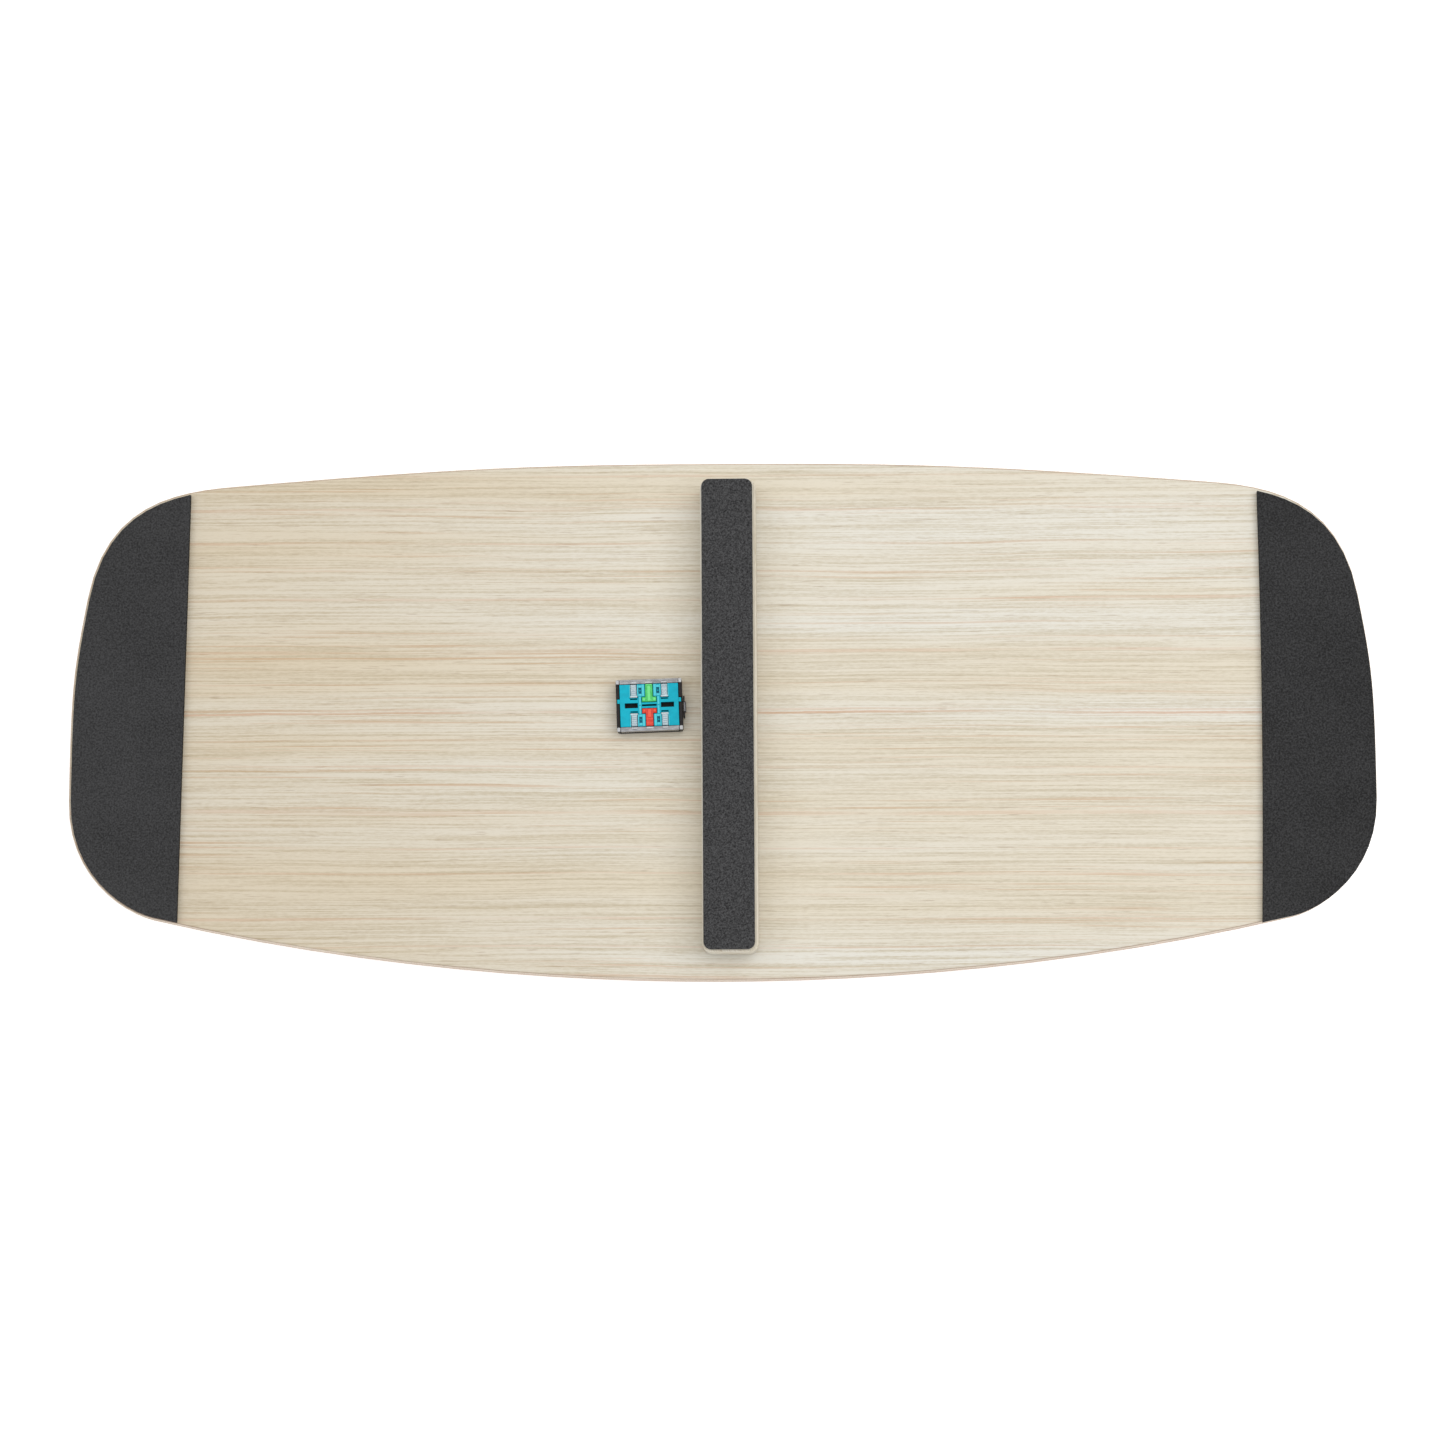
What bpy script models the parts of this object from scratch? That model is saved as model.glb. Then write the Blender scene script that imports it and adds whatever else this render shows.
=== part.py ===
"""A balance board, lying on its standing face with its underside up.

A plywood deck carries a wooden batten with a rubber face across its middle, a foam pad
under each end, and a small insert module with a green and a red push key. Metres, +Z up.
The origin is on the surface that the board lies on, below the middle of its outline.
"""

import math

import bmesh
import bpy

MM = 0.001
GAP = 0.3 * MM  # clearance between pieces that touch

# The deck. Its outline is the same left and right, and fuller at -Y than at +Y.
DECK_LENGTH = 800 * MM
DECK_WIDTH = 320 * MM
DECK_THICKNESS = 12 * MM
DECK_EDGE_RADIUS = 3 * MM
DECK_EDGE_STEPS = 4
# Each anchor of the right half: x, y, heading in degrees, handle length before and after it.
HALF_OUTLINE = (
    (0, DECK_WIDTH / 2, 0, 0, 112 * MM),
    (300 * MM, 147.3 * MM, -4.6, 140 * MM, 38 * MM),
    (391 * MM, 77 * MM, -80, 61 * MM, 48 * MM),
    (DECK_LENGTH / 2, -49 * MM, -90, 70 * MM, 45 * MM),
    (347 * MM, -121.6 * MM, -167, 20 * MM, 132 * MM),
    (0, -DECK_WIDTH / 2, 180, 94 * MM, 0),
)
OUTLINE_STEPS = 12  # straight steps between two anchors

# The foam pads under the ends, stuck on by hand a little askew and towards +X and -Y.
PAD_THICKNESS = 4.5 * MM
PAD_INSET = 1.8 * MM
PAD_SHIFT = {"left": (0.7 * MM, -0.9 * MM), "right": (0.7 * MM, -1.6 * MM)}
PAD_FILM = 0.3 * MM
PAD_FILM_INSET = 2.5 * MM
PAD_INNER_X = {"left": -329.3 * MM, "right": 329.2 * MM}
PAD_SKEW = {"left": -0.9, "right": -0.34}  # degrees, turned about the pad's inner edge
PAD_BOW = {"left": 0.0, "right": 1.5 * MM}  # the inner edge's middle lies this far to +X
PAD_EDGE_HALF = 133 * MM  # half the length of the inner edge
PAD_EDGE_STEPS = 12

# The batten across the middle, which the board rocks on, and its rubber face.
BATTEN_SIZE = (34 * MM, 289.5 * MM, 24.5 * MM)
BATTEN_CENTRE = (6 * MM, 0.6 * MM)
BATTEN_TURN = 0.27  # degrees
BATTEN_CORNER = 6 * MM
BATTEN_EDGE_RADIUS = 1.2 * MM
STRIP_SIZE = (31 * MM, 287.5 * MM, 2.6 * MM)
STRIP_OFFSET = (-0.6 * MM, 0.3 * MM)
STRIP_CORNER = 4.6 * MM
STRIP_FILM = 0.3 * MM
STRIP_FILM_INSET = 1.5 * MM
STRIP_EDGE_RADIUS = 0.4 * MM

# Countersunk wood screws, down through the batten into the deck.
SCREW_COUNT = 5
SCREW_PITCH = 60 * MM
SCREW_LENGTH = 31 * MM
SCREW_SHANK_RADIUS = 2 * MM
SCREW_HEAD_RADIUS = 4 * MM
SCREW_HEAD_RIM = 0.4 * MM
SCREW_HEAD_DEPTH = 2.6 * MM
HOLE_EXTRA = 1 * MM
SCREW_TIP_DEPTH = 4 * MM
SCREW_SINK = 0.3 * MM  # from the batten's top down to the head

# The module, in its own frame: its heights are above the deck.
MODULE_CENTRE = (-43 * MM, 7.9 * MM)
MODULE_TURN = 2.0  # degrees
TRAY_SIZE = (40.4 * MM, 32.2 * MM)
TRAY_CORNER = 1.5 * MM
TRAY_SIDE_WALL = 2 * MM
TRAY_END_WALL = 1.2 * MM
TAPE_HEIGHTS = (0.3 * MM, 1.1 * MM)
TRAY_FLOOR_HEIGHTS = (1.4 * MM, 2.4 * MM)
BOARD_HEIGHTS = (2.7 * MM, 3.5 * MM)
CARRIER_HEIGHTS = (3.8 * MM, 9.6 * MM)
CARRIER_CEILING = 5.6 * MM
TRAY_END_WALL_TOP = 4.7 * MM
TRAY_TOP = 9.9 * MM
CARRIER_SIZE = (35.8 * MM, 26 * MM)
CARRIER_RIM = 1.5 * MM
END_BAR_WIDTH = 2.6 * MM

# The keys: a T with its head towards the module's middle.
KEY_HEAD = (8.8 * MM, 2.9 * MM)
KEY_STEM_WIDTH = 4.4 * MM
KEY_LENGTH = 10.7 * MM
KEY_INNER_Y = 2.1 * MM
KEY_FLANGE = 0.6 * MM
KEY_FLANGE_END = 11.2 * MM
KEY_HEIGHTS = (4.7 * MM, 5.3 * MM, 10.2 * MM)  # flange bottom, flange top, key top
KEY_SPRING_Y = 7.6 * MM
KEY_POCKET_RADIUS = 1.5 * MM
KEY_POCKET_TOP = 8.2 * MM
SPRING_RADIUS = 0.95 * MM
SPRING_WIRE_RADIUS = 0.13 * MM
SPRING_TURNS = 6
SPRING_HEIGHTS = (3.95 * MM, 7.75 * MM)
SPRING_STEPS_PER_TURN = 10

# The clear light guides: narrower T pieces, two on each side of the keys.
GUIDE_X = 9.4 * MM
GUIDE_FOOT = (4.6 * MM, 1.2 * MM)
GUIDE_STEM_WIDTH = 3.6 * MM
GUIDE_LENGTH = 8 * MM
GUIDE_INNER_Y = 4.8 * MM
GUIDE_HEIGHTS = (7.1 * MM, 9.9 * MM)

# The carrier's openings: size, then the places of their centres. The keys' and the
# guides' openings run out through the carrier's long sides.
OPEN_END = 2 * MM
MIDDLE_SLOT = ((9 * MM, 1.1 * MM), ((0, 0),))
SIDE_WINDOWS = ((8 * MM, 3.1 * MM), ((-11 * MM, 0), (11.1 * MM, 0)))
GUIDE_SLITS = (
    (4.4 * MM, 0.7 * MM),
    tuple((x * GUIDE_X, y * 3.9 * MM) for x in (-1, 1) for y in (-1, 1)),
)
RECESSES = (
    (1.9 * MM, 3.6 * MM),
    tuple((x * 5.45 * MM, y * 8.95 * MM) for x in (-1, 1) for y in (-1, 1)),
)
RECESS_DEPTH = 1 * MM

# The carrier's snap lugs, in notches in the tray's side walls.
LUG_WIDTH = 2.6 * MM
LUG_Y = 2.8 * MM
LUG_REACH = 1.6 * MM
LUG_HEIGHTS = (7.4 * MM, 9.5 * MM)
LUG_ROOT = 0.5 * MM

# The latch clip on the tray's right wall.
CLIP_SIZE = (1 * MM, 13.4 * MM, 5 * MM)
CLIP_CENTRE_Y = -1.6 * MM
CLIP_Z = 5.6 * MM
CLIP_BUMP = (0.9 * MM, 6.5 * MM, 3.4 * MM)

SMOOTH_ANGLE = math.radians(35)
WELD_DISTANCE = 0.01 * MM
FLAT_ANGLE = 0.0005  # a flat face's own edges are removed below this angle, in radians


# ---------------------------------------------------------------- tools


def clear_scene():
    """Removes everything that a new Blender file starts with."""
    for obj in list(bpy.data.objects):
        bpy.data.objects.remove(obj, do_unlink=True)


def new_collection(name):
    collection = bpy.data.collections.new(name)
    bpy.context.scene.collection.children.link(collection)
    return collection


def material(name, colour, roughness, metallic=0.0):
    """A plain Principled material."""
    made = bpy.data.materials.new(name)
    made.use_nodes = True
    shader = made.node_tree.nodes["Principled BSDF"]
    shader.inputs["Base Color"].default_value = (*colour, 1.0)
    shader.inputs["Roughness"].default_value = roughness
    shader.inputs["Metallic"].default_value = metallic
    return made


def finish_piece(obj, name, colour, roughness, metallic=0.0):
    """Names an object as a piece of the board and gives it its own material."""
    obj.name = name
    obj.data.name = name
    obj.data.materials.clear()
    obj.data.materials.append(material(name + "_finish", colour, roughness, metallic))
    obj.data.shade_smooth()
    obj.data.set_sharp_from_angle(angle=SMOOTH_ANGLE)
    return obj


def as_cutter(obj):
    """Moves an object to the cutters, which aren't part of the board."""
    for collection in list(obj.users_collection):
        collection.objects.unlink(obj)
    bpy.data.collections["cutters"].objects.link(obj)
    obj.hide_render = True
    obj.display_type = "WIRE"
    return obj


def link_mesh(name, mesh):
    obj = bpy.data.objects.new(name, mesh)
    bpy.data.collections["balance_board"].objects.link(obj)
    return obj


def box(name, size, centre, z_low, z_high, parent=None):
    """An upright box of a size in X and Y between two heights."""
    mesh = bpy.data.meshes.new(name)
    shape = bmesh.new()
    bmesh.ops.create_cube(shape, size=1.0)
    bmesh.ops.scale(shape, vec=(size[0], size[1], z_high - z_low), verts=shape.verts)
    shape.to_mesh(mesh)
    shape.free()
    obj = link_mesh(name, mesh)
    obj.parent = parent
    obj.location = (centre[0], centre[1], (z_low + z_high) / 2)
    return obj


def mesh_of_curve(curve):
    """A curve's own solid as one welded mesh."""
    drawn = bpy.data.objects.new(curve.name, curve)
    bpy.context.scene.collection.objects.link(drawn)
    bpy.context.view_layer.update()
    evaluated = drawn.evaluated_get(bpy.context.evaluated_depsgraph_get())
    mesh = bpy.data.meshes.new_from_object(evaluated)
    bpy.data.objects.remove(drawn)
    shape = bmesh.new()
    shape.from_mesh(mesh)
    bmesh.ops.remove_doubles(shape, verts=shape.verts, dist=WELD_DISTANCE)
    bmesh.ops.dissolve_limit(
        shape, angle_limit=FLAT_ANGLE, verts=shape.verts, edges=shape.edges
    )
    shape.to_mesh(mesh)
    shape.free()
    return mesh


def flat_plate(name, splines, z_low, z_high, parent=None, inset=0.0):
    """A mesh plate between two heights, its outline drawn by splines and then inset."""
    curve = bpy.data.curves.new(name, "CURVE")
    curve.dimensions = "2D"
    curve.fill_mode = "BOTH"
    curve.extrude = (z_high - z_low) / 2
    curve.offset = -inset
    for draw in splines:
        draw(curve)
    obj = link_mesh(name, mesh_of_curve(curve))
    obj.parent = parent
    obj.location = (0, 0, (z_low + z_high) / 2)
    return obj


def polygon(points):
    """A spline of straight edges through points."""

    def draw(curve):
        spline = curve.splines.new("POLY")
        spline.points.add(len(points) - 1)
        for place, (x, y) in zip(spline.points, points):
            place.co = (x, y, 0, 1)
        spline.use_cyclic_u = True

    return draw


def bezier(anchors, steps):
    """A closed Bezier spline through anchors of (point, handle before, handle after)."""

    def draw(curve):
        spline = curve.splines.new("BEZIER")
        spline.bezier_points.add(len(anchors) - 1)
        for place, (point, before, after) in zip(spline.bezier_points, anchors):
            place.handle_left_type = "FREE"
            place.handle_right_type = "FREE"
            place.co = (*point, 0)
            place.handle_left = (*before, 0)
            place.handle_right = (*after, 0)
        spline.use_cyclic_u = True
        spline.resolution_u = steps

    return draw


def rounded_rectangle(size, radius, centre=(0, 0), corner_steps=6):
    """The points of a rectangle with round corners."""
    half_x = size[0] / 2 - radius
    half_y = size[1] / 2 - radius
    corners = ((half_x, half_y), (-half_x, half_y), (-half_x, -half_y), (half_x, -half_y))
    points = []
    for index, (corner_x, corner_y) in enumerate(corners):
        for step in range(corner_steps + 1):
            angle = math.radians(90 * (index + step / corner_steps))
            x = centre[0] + corner_x + radius * math.cos(angle)
            y = centre[1] + corner_y + radius * math.sin(angle)
            points.append((x, y))
    return points


def t_outline(head, stem_width, length, inner_y, x=0.0):
    """A T at x whose head lies at inner_y and whose stem runs towards +Y."""
    head_half = head[0] / 2
    stem_half = stem_width / 2
    shoulder = inner_y + head[1]
    far = inner_y + length
    half = (
        (head_half, inner_y),
        (head_half, shoulder),
        (stem_half, shoulder),
        (stem_half, far),
    )
    mirrored = [(-half_width, y) for half_width, y in reversed(half)]
    return [(x + offset, y) for offset, y in (*half, *mirrored)]


def boolean(target, other, operation="DIFFERENCE"):
    """Cuts a target with another object, which becomes a cutter."""
    modifier = target.modifiers.new(other.name, "BOOLEAN")
    modifier.operation = operation
    modifier.solver = "EXACT"
    modifier.object = as_cutter(other)


def round_edges(obj, width, segments=3):
    modifier = obj.modifiers.new("rounded_edges", "BEVEL")
    modifier.width = width
    modifier.segments = segments
    modifier.limit_method = "ANGLE"
    modifier.angle_limit = math.radians(60)
    modifier.use_clamp_overlap = True


def turned(name, profile, steps=20, parent=None):
    """A turned piece from a profile of (radius, height) points, top to bottom."""
    mesh = bpy.data.meshes.new(name)
    shape = bmesh.new()
    rim = [shape.verts.new((radius, 0, height)) for radius, height in profile]
    for upper, lower in zip(rim, rim[1:]):
        shape.edges.new((upper, lower))
    shape.to_mesh(mesh)
    shape.free()
    obj = link_mesh(name, mesh)
    obj.parent = parent
    screw = obj.modifiers.new("turned", "SCREW")
    screw.steps = steps
    screw.render_steps = steps
    screw.use_merge_vertices = True
    screw.merge_threshold = 0.00001
    return obj


# ---------------------------------------------------------------- deck and pads


def deck_outline():
    """The deck's outline as Bezier anchors, once round from the middle of the +Y edge."""
    right = []
    for x, y, heading, before, after in HALF_OUTLINE:
        step_x = math.cos(math.radians(heading))
        step_y = math.sin(math.radians(heading))
        if x == 0:
            before = after = max(before, after)
        right.append(
            (
                (x, y),
                (x - before * step_x, y - before * step_y),
                (x + after * step_x, y + after * step_y),
            )
        )
    left = [
        ((-point[0], point[1]), (-after[0], after[1]), (-before[0], before[1]))
        for point, before, after in reversed(right[1:-1])
    ]
    return right + left


def make_deck():
    deck = flat_plate("deck", [bezier(deck_outline(), OUTLINE_STEPS)], 0, DECK_THICKNESS)
    round_edges(deck, DECK_EDGE_RADIUS, DECK_EDGE_STEPS)
    return finish_piece(deck, "deck", (0.72, 0.64, 0.50), 0.45)


def pad_end_outline(side, edge_inset):
    """What lies beyond a pad's inner edge, which bows a little, in the edge's own frame."""
    outer_x = math.copysign(DECK_LENGTH / 2 - abs(PAD_INNER_X[side]) + 20 * MM, PAD_INNER_X[side])
    inner_x = math.copysign(edge_inset, PAD_INNER_X[side])
    outer_y = DECK_WIDTH / 2 + 20 * MM
    points = [(outer_x, outer_y), (inner_x, outer_y)]
    for step in range(PAD_EDGE_STEPS + 1):
        share = 1 - 2 * step / PAD_EDGE_STEPS
        bow = PAD_BOW[side] * (1 - share * share)
        points.append((inner_x + bow, share * PAD_EDGE_HALF))
    return [*points, (inner_x, -outer_y), (outer_x, -outer_y)]


def make_pad_layer(name, side, heights, inset, colour, roughness):
    """One layer of an end pad: the deck's outline, drawn in, beyond the pad's inner edge."""
    outline = bezier(deck_outline(), OUTLINE_STEPS)
    layer = flat_plate(name, [outline], *heights, inset=inset)
    layer.location.x = PAD_SHIFT[side][0]
    layer.location.y = PAD_SHIFT[side][1]
    end = polygon(pad_end_outline(side, inset - PAD_INSET))
    keep = flat_plate(f"{name}_end", [end], heights[0] - 5 * MM, heights[1] + 5 * MM)
    keep.location.x = PAD_INNER_X[side]
    keep.rotation_euler.z = math.radians(PAD_SKEW[side])
    boolean(layer, keep, "INTERSECT")
    return finish_piece(layer, name, colour, roughness)


def make_end_pads():
    film_low = DECK_THICKNESS + GAP
    film = (film_low, film_low + PAD_FILM)
    foam = (film[1] + GAP, DECK_THICKNESS + PAD_THICKNESS)
    for side in ("left", "right"):
        name = f"end_pad_{side}"
        make_pad_layer(f"{name}_adhesive", side, film, PAD_FILM_INSET, (0.55, 0.52, 0.45), 0.6)
        make_pad_layer(name, side, foam, PAD_INSET, (0.045, 0.045, 0.045), 0.9)


# ---------------------------------------------------------------- batten


def batten_frame():
    """The empty that the batten's pieces stand on, at the deck's upper face."""
    frame = bpy.data.objects.new("batten_frame", None)
    bpy.data.collections["balance_board"].objects.link(frame)
    frame.location = (*BATTEN_CENTRE, DECK_THICKNESS)
    frame.rotation_euler.z = math.radians(BATTEN_TURN)
    return frame


def screw_places():
    first = -(SCREW_COUNT - 1) / 2
    return [(first + index) * SCREW_PITCH for index in range(SCREW_COUNT)]


def screw_profile(grow=0.0):
    """Half the outline of a countersunk screw, its head's top at height 0.

    Grown, it is the screw's hole: wider all round, and deeper and taller by HOLE_EXTRA.
    """
    extra = HOLE_EXTRA if grow else 0.0
    head = SCREW_HEAD_RADIUS + grow
    shank = SCREW_SHANK_RADIUS + grow
    tip = -SCREW_LENGTH - extra
    return [
        (0, extra),
        (head, extra),
        (head, -SCREW_HEAD_RIM - grow),
        (shank, -SCREW_HEAD_DEPTH - grow),
        (shank, tip + SCREW_TIP_DEPTH),
        (0, tip),
    ]


def make_screws(frame, batten, deck):
    """The screws, and their holes in the batten and the deck."""
    top = BATTEN_SIZE[2] + GAP - SCREW_SINK
    for number, y in enumerate(screw_places(), start=1):
        screw = turned(f"batten_screw_{number}", screw_profile(), parent=frame)
        screw.location = (0, y, top)
        finish_piece(screw, screw.name, (0.62, 0.60, 0.55), 0.35, 1.0)
        hole = turned(f"screw_hole_{number}", screw_profile(GAP), parent=frame)
        hole.location = (0, y, top)
        boolean(batten, hole)
        boolean(deck, hole)


def make_batten(deck):
    frame = batten_frame()
    width, length, height = BATTEN_SIZE
    outline = rounded_rectangle((width, length), BATTEN_CORNER, corner_steps=8)
    batten = flat_plate("batten", [polygon(outline)], GAP, GAP + height, frame)
    round_edges(batten, BATTEN_EDGE_RADIUS)
    make_screws(frame, batten, deck)
    finish_piece(batten, "batten", (0.74, 0.66, 0.52), 0.5)

    film_low = GAP + height + GAP
    film_size = [side - 2 * STRIP_FILM_INSET for side in STRIP_SIZE[:2]]
    film_corner = STRIP_CORNER - STRIP_FILM_INSET
    film_outline = rounded_rectangle(film_size, film_corner, STRIP_OFFSET)
    film = flat_plate("film", [polygon(film_outline)], film_low, film_low + STRIP_FILM, frame)
    finish_piece(film, "batten_strip_adhesive", (0.55, 0.52, 0.45), 0.6)

    strip_low = film_low + STRIP_FILM + GAP
    strip_outline = rounded_rectangle(STRIP_SIZE[:2], STRIP_CORNER, STRIP_OFFSET, corner_steps=8)
    strip = flat_plate(
        "strip", [polygon(strip_outline)], strip_low, strip_low + STRIP_SIZE[2], frame
    )
    round_edges(strip, STRIP_EDGE_RADIUS, 1)
    finish_piece(strip, "batten_rubber_strip", (0.05, 0.05, 0.05), 0.9)


# ---------------------------------------------------------------- module


def module_frame():
    """The empty that the module's pieces stand on, at the deck's upper face."""
    frame = bpy.data.objects.new("module_frame", None)
    bpy.data.collections["balance_board"].objects.link(frame)
    frame.location = (*MODULE_CENTRE, DECK_THICKNESS)
    frame.rotation_euler.z = math.radians(MODULE_TURN)
    return frame


def half_frame(frame, turn):
    """One half of the module: its +Y points away from the module's middle."""
    half = bpy.data.objects.new(f"module_half_{turn}", None)
    bpy.data.collections["balance_board"].objects.link(half)
    half.parent = frame
    half.rotation_euler.z = math.radians(turn)
    return half


def make_tray(frame):
    """The dark tray: high walls at its two sides and low ones at its ends."""
    outline = rounded_rectangle(TRAY_SIZE, TRAY_CORNER, corner_steps=3)
    tray = flat_plate("tray", [polygon(outline)], TRAY_FLOOR_HEIGHTS[0], TRAY_TOP, frame)
    inner_x = TRAY_SIZE[0] - 2 * TRAY_SIDE_WALL
    inner_y = TRAY_SIZE[1] - 2 * TRAY_END_WALL
    above = TRAY_TOP + 2 * MM
    hollow = box("tray_hollow", (inner_x, inner_y), (0, 0), TRAY_FLOOR_HEIGHTS[1], above, frame)
    boolean(tray, hollow)
    notch = box(
        "tray_notch", (inner_x, TRAY_SIZE[1] + 4 * MM), (0, 0), TRAY_END_WALL_TOP, above, frame
    )
    boolean(tray, notch)
    lug_notch = box(
        "lug_notch",
        (TRAY_SIZE[0] + 4 * MM, LUG_WIDTH + 2 * GAP),
        (0, LUG_Y),
        LUG_HEIGHTS[0] - GAP,
        above,
        frame,
    )
    boolean(tray, lug_notch)
    finish_piece(tray, "module_tray", (0.035, 0.033, 0.035), 0.45)

    tape = box("tape", [side - 2 * MM for side in TRAY_SIZE], (0, 0), *TAPE_HEIGHTS, frame)
    finish_piece(tape, "module_foam_tape", (0.8, 0.8, 0.78), 0.9)
    board = box(
        "board", (inner_x - 2 * GAP, inner_y - 2 * GAP), (0, 0), *BOARD_HEIGHTS, frame
    )
    finish_piece(board, "module_contact_board", (0.03, 0.16, 0.08), 0.5)


def cut_through_carrier(carrier, frame, name, opening):
    """Cuts each place of an opening down through the carrier."""
    size, places = opening
    low, high = CARRIER_HEIGHTS[0] - 1 * MM, CARRIER_HEIGHTS[1] + 1 * MM
    for number, centre in enumerate(places, start=1):
        boolean(carrier, box(f"{name}_{number}", size, centre, low, high, frame))


def cut_t_seat(carrier, half, name, shape, x, low):
    """Cuts a T-shaped seat from a height up, open at its stem's outer end."""
    head, stem_width, inner_y = shape
    high = CARRIER_HEIGHTS[1] + 1 * MM
    shoulder = inner_y + head[1] + GAP
    far = CARRIER_SIZE[1] / 2 + OPEN_END
    stretches = (
        (head[0] + 2 * GAP, inner_y - GAP, shoulder),
        (stem_width + 2 * GAP, inner_y, far),
    )
    for width, near, end in stretches:
        centre = (x, (near + end) / 2)
        boolean(carrier, box(name, (width, end - near), centre, low, high, half))


def make_carrier(frame, halves):
    """The teal carrier: a shallow box, open below, that holds the keys and light guides."""
    low, high = CARRIER_HEIGHTS
    carrier = box("carrier", CARRIER_SIZE, (0, 0), low, high, frame)
    cavity_size = [side - 2 * CARRIER_RIM for side in CARRIER_SIZE]
    cavity = box("carrier_cavity", cavity_size, (0, 0), low - 1 * MM, CARRIER_CEILING, frame)
    boolean(carrier, cavity)
    for half in halves:
        key_seat = (KEY_HEAD, KEY_STEM_WIDTH, KEY_INNER_Y)
        cut_t_seat(carrier, half, "key_seat", key_seat, 0, low - 1 * MM)
        guide_seat = (GUIDE_FOOT, GUIDE_STEM_WIDTH, GUIDE_INNER_Y)
        for x in (-GUIDE_X, GUIDE_X):
            cut_t_seat(carrier, half, "guide_seat", guide_seat, x, GUIDE_HEIGHTS[0] - GAP)
    cut_through_carrier(carrier, frame, "middle_slot", MIDDLE_SLOT)
    cut_through_carrier(carrier, frame, "side_window", SIDE_WINDOWS)
    cut_through_carrier(carrier, frame, "guide_slit", GUIDE_SLITS)
    lug_length = LUG_REACH + LUG_ROOT
    lug_x = CARRIER_SIZE[0] / 2 - LUG_ROOT + lug_length / 2
    for x in (-lug_x, lug_x):
        lug = box("lug", (lug_length, LUG_WIDTH), (x, LUG_Y), *LUG_HEIGHTS, frame)
        boolean(carrier, lug, "UNION")
    size, places = RECESSES
    for number, centre in enumerate(places, start=1):
        recess = box(f"recess_{number}", size, centre, high - RECESS_DEPTH, high + 1 * MM, frame)
        boolean(carrier, recess)
    finish_piece(carrier, "module_carrier", (0.0, 0.42, 0.52), 0.35)


def make_key(half, word, colour):
    """One T-shaped push key, with a flange below and a pocket for its spring."""
    bottom, flange_top, top = KEY_HEIGHTS
    outline = t_outline(KEY_HEAD, KEY_STEM_WIDTH, KEY_LENGTH, KEY_INNER_Y)
    inside_flange = (bottom + flange_top) / 2
    key = flat_plate(f"{word}_key", [polygon(outline)], inside_flange, top, half)
    flange_start = KEY_INNER_Y - KEY_FLANGE
    flange_size = (KEY_HEAD[0] + 2 * KEY_FLANGE, KEY_FLANGE_END - flange_start)
    flange_centre = (0, (KEY_FLANGE_END + flange_start) / 2)
    flange = box(f"{word}_flange", flange_size, flange_centre, bottom, flange_top, half)
    boolean(key, flange, "UNION")
    below = bottom - 1 * MM
    pocket_profile = [
        (0, KEY_POCKET_TOP),
        (KEY_POCKET_RADIUS, KEY_POCKET_TOP),
        (KEY_POCKET_RADIUS, below),
        (0, below),
    ]
    pocket = turned(f"{word}_pocket", pocket_profile, 16, half)
    pocket.location.y = KEY_SPRING_Y
    boolean(key, pocket)
    finish_piece(key, f"{word}_key", colour, 0.3)


def spring_points():
    """The points up the middle of a spring's wire."""
    low, high = SPRING_HEIGHTS
    last = SPRING_TURNS * SPRING_STEPS_PER_TURN
    for index in range(last + 1):
        angle = 2 * math.pi * index / SPRING_STEPS_PER_TURN
        x = SPRING_RADIUS * math.cos(angle)
        y = KEY_SPRING_Y + SPRING_RADIUS * math.sin(angle)
        yield (x, y, low + (high - low) * index / last)


def make_spring(half, word):
    """The coil spring between the contact board and the key's pocket."""
    points = list(spring_points())
    curve = bpy.data.curves.new("coil", "CURVE")
    curve.dimensions = "3D"
    curve.bevel_depth = SPRING_WIRE_RADIUS
    curve.bevel_resolution = 1
    curve.use_fill_caps = True
    spline = curve.splines.new("POLY")
    spline.points.add(len(points) - 1)
    for place, point in zip(spline.points, points):
        place.co = (*point, 1)
    spring = link_mesh("coil", mesh_of_curve(curve))
    spring.parent = half
    finish_piece(spring, f"{word}_key_spring", (0.6, 0.6, 0.6), 0.3, 1.0)


def make_guides(halves):
    """The four clear light guides, two beside each key."""
    places = [(half, x) for half in halves for x in (-GUIDE_X, GUIDE_X)]
    for number, (half, x) in enumerate(places, start=1):
        outline = t_outline(GUIDE_FOOT, GUIDE_STEM_WIDTH, GUIDE_LENGTH, GUIDE_INNER_Y, x)
        guide = flat_plate("guide", [polygon(outline)], *GUIDE_HEIGHTS, half)
        finish_piece(guide, f"light_guide_{number}", (0.75, 0.85, 0.88), 0.1)


def make_end_bars(frame):
    """The clear bars along the carrier's two long edges."""
    length = CARRIER_SIZE[0]
    middle = CARRIER_SIZE[1] / 2 + GAP + END_BAR_WIDTH / 2
    low = TRAY_END_WALL_TOP + GAP
    for side, word in ((1, "upper"), (-1, "lower")):
        centre = (0, side * middle)
        bar = box(f"{word}_bar", (length, END_BAR_WIDTH), centre, low, TRAY_TOP, frame)
        finish_piece(bar, f"clear_end_bar_{word}", (0.7, 0.72, 0.74), 0.15)


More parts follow.
